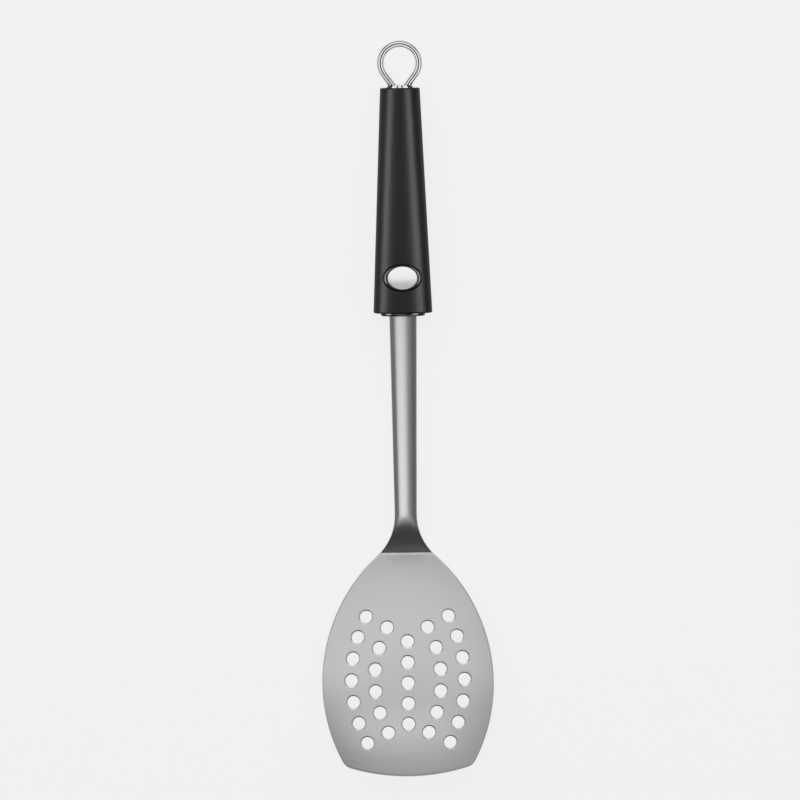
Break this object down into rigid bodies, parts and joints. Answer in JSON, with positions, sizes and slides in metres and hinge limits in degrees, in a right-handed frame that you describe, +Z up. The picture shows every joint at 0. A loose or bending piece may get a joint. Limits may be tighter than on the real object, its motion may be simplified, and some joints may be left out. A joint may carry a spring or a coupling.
{
  "type": "perforated kitchen turner",
  "caption": "Kitchen turner with a domed, perforated stainless blade, an offset tapered shank, a tapered black grip with a blank oval badge, and a wire hanging loop.",
  "frame": {"origin": "middle of the box round the tool, on the surface that it lies on", "axes": "+Y along the tool from the blade's tip towards the hanging loop, +Z up through the badge, +X across"},
  "size_m": [0.0824, 0.3528, 0.0258],
  "materials": {
    "blade_steel": "satin, finely brushed",
    "shank_steel": "satin, brushed",
    "wire_steel": "polished",
    "bezel_black": "glossy",
    "plate_metal": "bright satin",
    "grip_black": "satin, soft touch",
    "hard_black": "glossy",
    "pad": "matte"
  },
  "bodies": {
    "root": {"blade": "blade_steel", "shank": "shank_steel", "handle_core": "hard_black", "grip": "grip_black", "collar": "hard_black", "end_plug": "hard_black", "hanging_loop": "wire_steel", "badge_bezel": "bezel_black", "badge_plate": "plate_metal", "badge_pad": "pad"}
  },
  "joints": []
}
